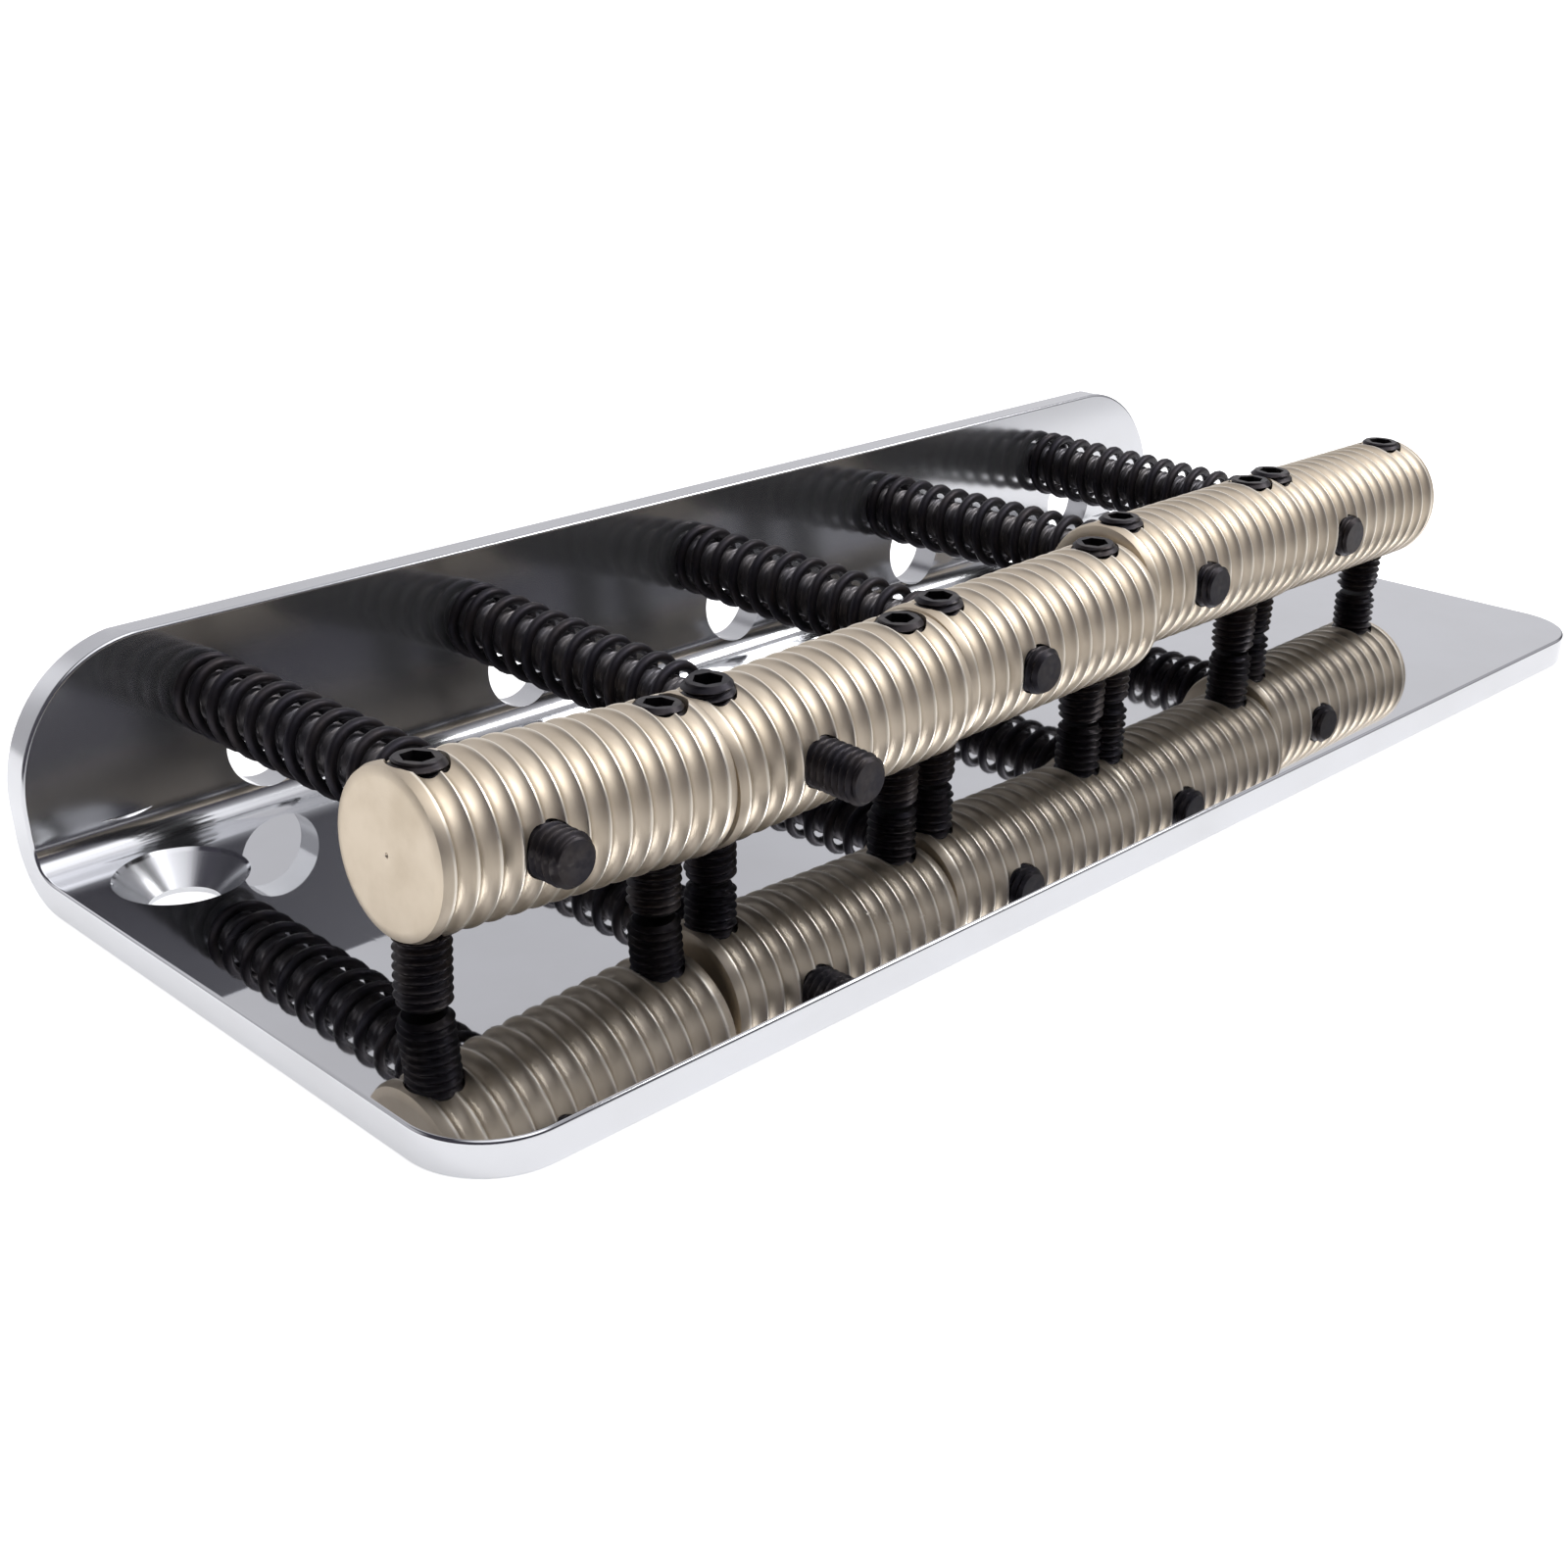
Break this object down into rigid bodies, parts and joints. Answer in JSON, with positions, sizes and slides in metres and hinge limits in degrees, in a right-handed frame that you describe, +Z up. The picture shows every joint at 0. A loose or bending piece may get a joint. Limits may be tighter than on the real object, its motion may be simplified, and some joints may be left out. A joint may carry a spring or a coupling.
{
  "type": "bass guitar bridge",
  "caption": "Bent-plate bass guitar bridge with grooved barrel saddles, each set for height by two screws and for length by a sprung screw.",
  "frame": {"origin": "centre of the flat underside of the sheet, midway between its two sides and midway from its front edge to the wall's foot", "axes": "+Z up, away from the instrument's body; +Y towards the upright wall at the tail; +X towards the lowest string"},
  "size_m": [0.1018, 0.0443, 0.0149],
  "materials": {
    "plate_chrome": "polished chrome on bent steel sheet",
    "saddle_nickel": "satin nickel on turned brass",
    "screw_black": "black oxide on threaded steel",
    "spring_black": "black oxide on spring steel wire"
  },
  "bodies": {
    "base_plate": {"base_plate": "plate_chrome"},
    "spring_1": {"spring_1": "spring_black"},
    "intonation_screw_1": {"intonation_screw_1": "screw_black"},
    "saddle_1": {"saddle_1": "saddle_nickel"},
    "height_screw_1_high_string_side": {"height_screw_1_high_string_side": "screw_black"},
    "height_screw_1_low_string_side": {"height_screw_1_low_string_side": "screw_black"},
    "spring_2": {"spring_2": "spring_black"},
    "intonation_screw_2": {"intonation_screw_2": "screw_black"},
    "saddle_2": {"saddle_2": "saddle_nickel"},
    "height_screw_2_high_string_side": {"height_screw_2_high_string_side": "screw_black"},
    "height_screw_2_low_string_side": {"height_screw_2_low_string_side": "screw_black"},
    "spring_3": {"spring_3": "spring_black"},
    "intonation_screw_3": {"intonation_screw_3": "screw_black"},
    "saddle_3": {"saddle_3": "saddle_nickel"},
    "height_screw_3_high_string_side": {"height_screw_3_high_string_side": "screw_black"},
    "height_screw_3_low_string_side": {"height_screw_3_low_string_side": "screw_black"},
    "spring_4": {"spring_4": "spring_black"},
    "intonation_screw_4": {"intonation_screw_4": "screw_black"},
    "saddle_4": {"saddle_4": "saddle_nickel"},
    "height_screw_4_high_string_side": {"height_screw_4_high_string_side": "screw_black"},
    "height_screw_4_low_string_side": {"height_screw_4_low_string_side": "screw_black"},
    "spring_5": {"spring_5": "spring_black"},
    "intonation_screw_5": {"intonation_screw_5": "screw_black"},
    "saddle_5": {"saddle_5": "saddle_nickel"},
    "height_screw_5_high_string_side": {"height_screw_5_high_string_side": "screw_black"},
    "height_screw_5_low_string_side": {"height_screw_5_low_string_side": "screw_black"}
  },
  "joints": [
    {"name": "saddle_1_height", "type": "hinge", "parent": "base_plate", "child": "spring_1", "pos_m": [-0.03925, 0.02105, 0.0097], "axis": [-1, 0, 0], "range_deg": [-4, 4]},
    {"name": "intonation_screw_1_turn", "type": "hinge", "parent": "spring_1", "child": "intonation_screw_1", "pos_m": [-0.03925, 0.02105, 0.0097], "axis": [0, 0.9999, -0.0117], "range_deg": [-2940, 1840]},
    {"name": "saddle_1_intonation", "type": "slide", "parent": "spring_1", "child": "saddle_1", "axis": [0, -0.9999, 0.0117], "range_m": [-0.004, 0.0025], "deforming": ["spring_1"]},
    {"name": "height_screw_1_high_string_side_travel", "type": "slide", "parent": "saddle_1", "child": "height_screw_1_high_string_side", "axis": [0.0698, 0.0117, 0.9975], "range_m": [-0.00207, 0.00207]},
    {"name": "height_screw_1_low_string_side_travel", "type": "slide", "parent": "saddle_1", "child": "height_screw_1_low_string_side", "axis": [0.0698, 0.0117, 0.9975], "range_m": [-0.00207, 0.00207]},
    {"name": "saddle_2_height", "type": "hinge", "parent": "base_plate", "child": "spring_2", "pos_m": [-0.02025, 0.02105, 0.0097], "axis": [-1, 0, 0], "range_deg": [-4, 4]},
    {"name": "intonation_screw_2_turn", "type": "hinge", "parent": "spring_2", "child": "intonation_screw_2", "pos_m": [-0.02025, 0.02105, 0.0097], "axis": [0, 0.9997, 0.0254], "range_deg": [-2940, 1840]},
    {"name": "saddle_2_intonation", "type": "slide", "parent": "spring_2", "child": "saddle_2", "axis": [0, -0.9997, -0.0254], "range_m": [-0.004, 0.0025], "deforming": ["spring_2"]},
    {"name": "height_screw_2_high_string_side_travel", "type": "slide", "parent": "saddle_2", "child": "height_screw_2_high_string_side", "axis": [-0.0262, -0.0254, 0.9993], "range_m": [-0.002, 0.002]},
    {"name": "height_screw_2_low_string_side_travel", "type": "slide", "parent": "saddle_2", "child": "height_screw_2_low_string_side", "axis": [-0.0262, -0.0254, 0.9993], "range_m": [-0.002, 0.002]},
    {"name": "saddle_3_height", "type": "hinge", "parent": "base_plate", "child": "spring_3", "pos_m": [-0.00125, 0.02105, 0.0097], "axis": [-1, 0, 0], "range_deg": [-4, 4]},
    {"name": "intonation_screw_3_turn", "type": "hinge", "parent": "spring_3", "child": "intonation_screw_3", "pos_m": [-0.00125, 0.02105, 0.0097], "axis": [0, 0.9998, 0.0179], "range_deg": [-2940, 1840]},
    {"name": "saddle_3_intonation", "type": "slide", "parent": "spring_3", "child": "saddle_3", "axis": [0, -0.9998, -0.0179], "range_m": [-0.004, 0.0025], "deforming": ["spring_3"]},
    {"name": "height_screw_3_high_string_side_travel", "type": "slide", "parent": "saddle_3", "child": "height_screw_3_high_string_side", "axis": [-0.0192, -0.0179, 0.9997], "range_m": [-0.00194, 0.00194]},
    {"name": "height_screw_3_low_string_side_travel", "type": "slide", "parent": "saddle_3", "child": "height_screw_3_low_string_side", "axis": [-0.0192, -0.0179, 0.9997], "range_m": [-0.00194, 0.00194]},
    {"name": "saddle_4_height", "type": "hinge", "parent": "base_plate", "child": "spring_4", "pos_m": [0.01775, 0.02105, 0.0097], "axis": [-1, 0, 0], "range_deg": [-4, 4]},
    {"name": "intonation_screw_4_turn", "type": "hinge", "parent": "spring_4", "child": "intonation_screw_4", "pos_m": [0.01775, 0.02105, 0.0097], "axis": [0, 1, -0.0072], "range_deg": [-2940, 1840]},
    {"name": "saddle_4_intonation", "type": "slide", "parent": "spring_4", "child": "saddle_4", "axis": [0, -1, 0.0072], "range_m": [-0.004, 0.0025], "deforming": ["spring_4"]},
    {"name": "height_screw_4_high_string_side_travel", "type": "slide", "parent": "saddle_4", "child": "height_screw_4_high_string_side", "axis": [0.0035, 0.0072, 1], "range_m": [-0.00187, 0.00187]},
    {"name": "height_screw_4_low_string_side_travel", "type": "slide", "parent": "saddle_4", "child": "height_screw_4_low_string_side", "axis": [0.0035, 0.0072, 1], "range_m": [-0.00187, 0.00187]},
    {"name": "saddle_5_height", "type": "hinge", "parent": "base_plate", "child": "spring_5", "pos_m": [0.03675, 0.02105, 0.0097], "axis": [-1, 0, 0], "range_deg": [-4, 4]},
    {"name": "intonation_screw_5_turn", "type": "hinge", "parent": "spring_5", "child": "intonation_screw_5", "pos_m": [0.03675, 0.02105, 0.0097], "axis": [0, 0.9998, 0.0191], "range_deg": [-2940, 1840]},
    {"name": "saddle_5_intonation", "type": "slide", "parent": "spring_5", "child": "saddle_5", "axis": [0, -0.9998, -0.0191], "range_m": [-0.004, 0.0025], "deforming": ["spring_5"]},
    {"name": "height_screw_5_high_string_side_travel", "type": "slide", "parent": "saddle_5", "child": "height_screw_5_high_string_side", "axis": [0.0122, -0.0191, 0.9997], "range_m": [-0.00178, 0.00178]},
    {"name": "height_screw_5_low_string_side_travel", "type": "slide", "parent": "saddle_5", "child": "height_screw_5_low_string_side", "axis": [0.0122, -0.0191, 0.9997], "range_m": [-0.00178, 0.00178]}
  ],
  "couplings": [
    {"joint": "intonation_screw_1_turn", "follows": "saddle_1_intonation", "rad_per_m": 12566},
    {"joint": "height_screw_1_high_string_side_travel", "follows": "saddle_1_height", "m_per_rad": -0.029408},
    {"joint": "height_screw_1_low_string_side_travel", "follows": "saddle_1_height", "m_per_rad": -0.029408},
    {"joint": "intonation_screw_2_turn", "follows": "saddle_2_intonation", "rad_per_m": 12566},
    {"joint": "height_screw_2_high_string_side_travel", "follows": "saddle_2_height", "m_per_rad": -0.028428},
    {"joint": "height_screw_2_low_string_side_travel", "follows": "saddle_2_height", "m_per_rad": -0.028428},
    {"joint": "intonation_screw_3_turn", "follows": "saddle_3_intonation", "rad_per_m": 12566},
    {"joint": "height_screw_3_high_string_side_travel", "follows": "saddle_3_height", "m_per_rad": -0.027634},
    {"joint": "height_screw_3_low_string_side_travel", "follows": "saddle_3_height", "m_per_rad": -0.027634},
    {"joint": "intonation_screw_4_turn", "follows": "saddle_4_intonation", "rad_per_m": 12566},
    {"joint": "height_screw_4_high_string_side_travel", "follows": "saddle_4_height", "m_per_rad": -0.0266},
    {"joint": "height_screw_4_low_string_side_travel", "follows": "saddle_4_height", "m_per_rad": -0.0266},
    {"joint": "intonation_screw_5_turn", "follows": "saddle_5_intonation", "rad_per_m": 12566},
    {"joint": "height_screw_5_high_string_side_travel", "follows": "saddle_5_height", "m_per_rad": -0.025272},
    {"joint": "height_screw_5_low_string_side_travel", "follows": "saddle_5_height", "m_per_rad": -0.025272}
  ]
}
